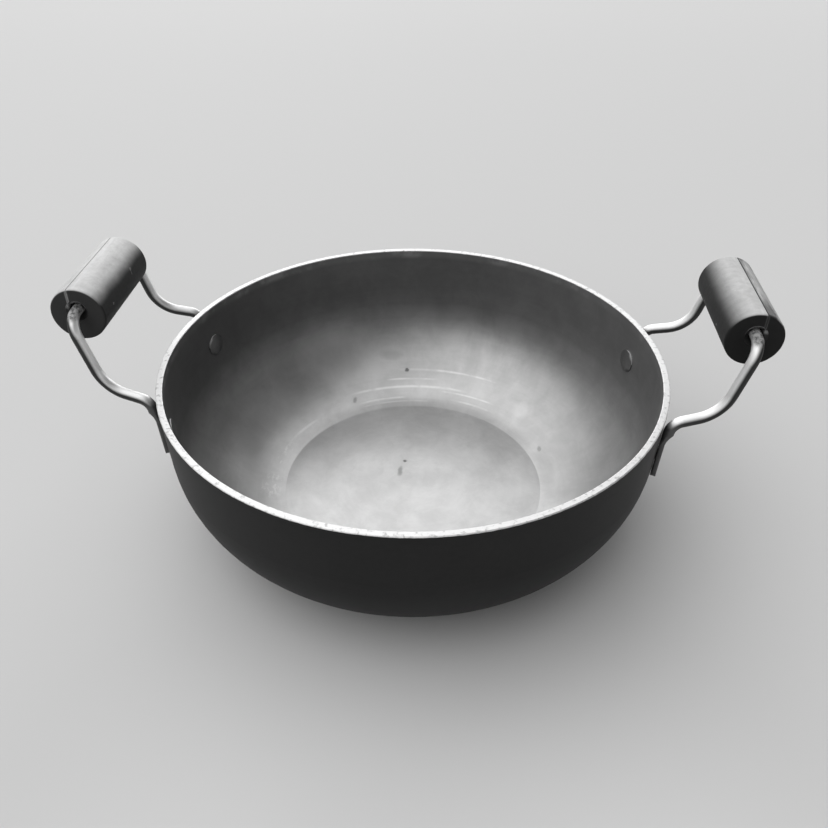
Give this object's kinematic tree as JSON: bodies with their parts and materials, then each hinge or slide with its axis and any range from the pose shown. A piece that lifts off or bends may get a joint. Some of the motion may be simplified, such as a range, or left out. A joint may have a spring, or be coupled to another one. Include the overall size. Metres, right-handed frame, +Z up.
{
  "type": "kadai",
  "caption": "Deep round kadai with a tapered wall curving into a flat base, and riveted bent-rod handles whose cylindrical grips turn on their rods.",
  "frame": {"origin": "centre of the flat base's underside, at the height of the surface the pan stands on", "axes": "+Z up along the bowl's axis, +X through the middle of the right handle, -Y towards the viewer's side"},
  "size_m": [0.3426, 0.26, 0.1373],
  "materials": {
    "pan_metal": "hard anodised charcoal with a bare machined rim",
    "rod_steel": "polished",
    "grip_plastic": "satin black moulding",
    "rivet_metal": "anodised charcoal"
  },
  "bodies": {
    "pan": {"pan_body": "pan_metal", "right_handle_rod": "rod_steel", "left_handle_rod": "rod_steel", "right_front_rivet": "rivet_metal", "right_back_rivet": "rivet_metal", "left_front_rivet": "rivet_metal", "left_back_rivet": "rivet_metal"},
    "right_grip": {"right_grip_body": "grip_plastic", "right_grip_cover": "grip_plastic"},
    "left_grip": {"left_grip_body": "grip_plastic", "left_grip_cover": "grip_plastic"}
  },
  "joints": [
    {"name": "right_grip_turn", "type": "hinge", "parent": "pan", "child": "right_grip", "pos_m": [0.1579, 0, 0.1261], "axis": [0, 1, 0], "continuous": true},
    {"name": "left_grip_turn", "type": "hinge", "parent": "pan", "child": "left_grip", "pos_m": [-0.1579, 0, 0.1261], "axis": [0, 1, 0], "continuous": true}
  ]
}
